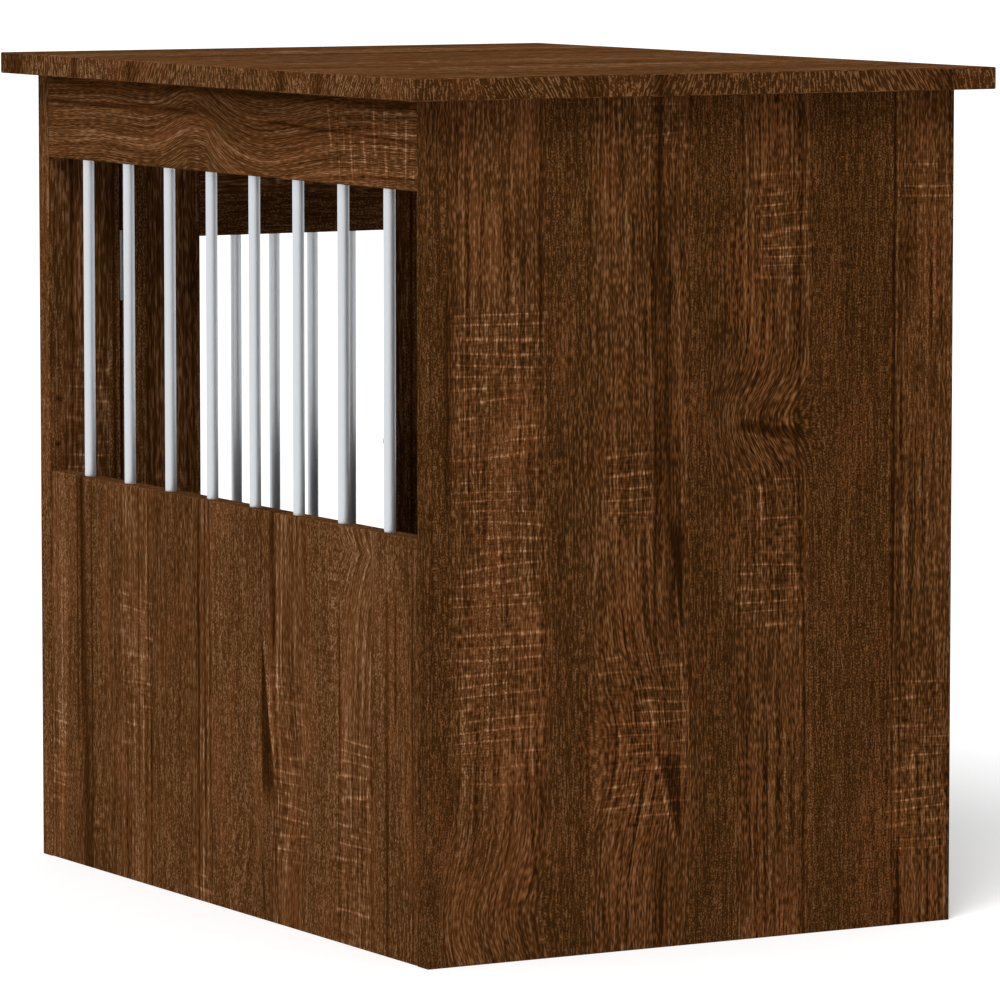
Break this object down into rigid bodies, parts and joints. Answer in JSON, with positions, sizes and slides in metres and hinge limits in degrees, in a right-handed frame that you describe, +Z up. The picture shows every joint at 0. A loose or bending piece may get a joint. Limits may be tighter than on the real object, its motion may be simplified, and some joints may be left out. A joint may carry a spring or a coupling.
{
  "type": "dog crate end table",
  "caption": "Board-built dog crate end table with barred side windows, an inset barred door on butt hinges, a barrel bolt and an overhanging rectangular top.",
  "frame": {"origin": "middle of the footprint, on the floor that the table stands on", "axes": "+Z up, Y along the table with the door in the -Y end, X across it with the door's hinges on the +X side"},
  "size_m": [0.45, 0.62, 0.586],
  "materials": {
    "dark_oak": "wood-based board with a dark smoked-oak sawn-grain surface, satin",
    "satin_steel": "satin round bar",
    "plated_steel": "zinc-plated sheet and rod",
    "cast_zinc": "plain die-cast zinc alloy"
  },
  "bodies": {
    "carcass": {"tabletop": "dark_oak", "back_panel": "dark_oak", "side_rail_left": "dark_oak", "side_rail_right": "dark_oak", "side_panel_left": "dark_oak", "side_panel_right": "dark_oak", "floor_board": "dark_oak", "floor_cleat_left": "dark_oak", "floor_cleat_right": "dark_oak", "top_batten_left": "dark_oak", "top_batten_right": "dark_oak", "front_stile_left": "dark_oak", "front_stile_right": "dark_oak", "front_rail_top": "dark_oak", "front_rail_bottom": "dark_oak", "side_bar_left_1": "satin_steel", "side_bar_left_2": "satin_steel", "side_bar_left_3": "satin_steel", "side_bar_left_4": "satin_steel", "side_bar_left_5": "satin_steel", "side_bar_left_6": "satin_steel", "side_bar_left_7": "satin_steel", "side_bar_left_8": "satin_steel", "side_bar_right_1": "satin_steel", "side_bar_right_2": "satin_steel", "side_bar_right_3": "satin_steel", "side_bar_right_4": "satin_steel", "side_bar_right_5": "satin_steel", "side_bar_right_6": "satin_steel", "side_bar_right_7": "satin_steel", "side_bar_right_8": "satin_steel", "rail_cam_left_front": "cast_zinc", "rail_cam_left_back": "cast_zinc", "rail_cam_right_front": "cast_zinc", "rail_cam_right_back": "cast_zinc", "panel_cam_left_front_low": "cast_zinc", "panel_cam_left_front_high": "cast_zinc", "panel_cam_left_back_low": "cast_zinc", "panel_cam_left_back_high": "cast_zinc", "panel_cam_right_front_low": "cast_zinc", "panel_cam_right_front_high": "cast_zinc", "panel_cam_right_back_low": "cast_zinc", "panel_cam_right_back_high": "cast_zinc", "hinge_upper_frame_leaf": "plated_steel", "hinge_upper_pin": "plated_steel", "hinge_lower_frame_leaf": "plated_steel", "hinge_lower_pin": "plated_steel", "latch_keeper": "plated_steel"},
    "door": {"door_stile_latch": "dark_oak", "door_stile_hinge": "dark_oak", "door_rail_top": "dark_oak", "door_rail_bottom": "dark_oak", "door_bar_1": "satin_steel", "door_bar_2": "satin_steel", "door_bar_3": "satin_steel", "door_bar_4": "satin_steel", "hinge_upper_door_leaf": "plated_steel", "hinge_lower_door_leaf": "plated_steel", "latch_guide": "plated_steel"},
    "bolt": {"latch_bolt": "plated_steel"}
  },
  "joints": [
    {"name": "door_hinge", "type": "hinge", "parent": "carcass", "child": "door", "pos_m": [0.14575, -0.2928, 0.2855], "axis": [0, 0, 1], "range_deg": [0, 180]},
    {"name": "latch_slide", "type": "slide", "parent": "door", "child": "bolt", "axis": [-1, 0, 0], "range_m": [0, 0.014]}
  ]
}
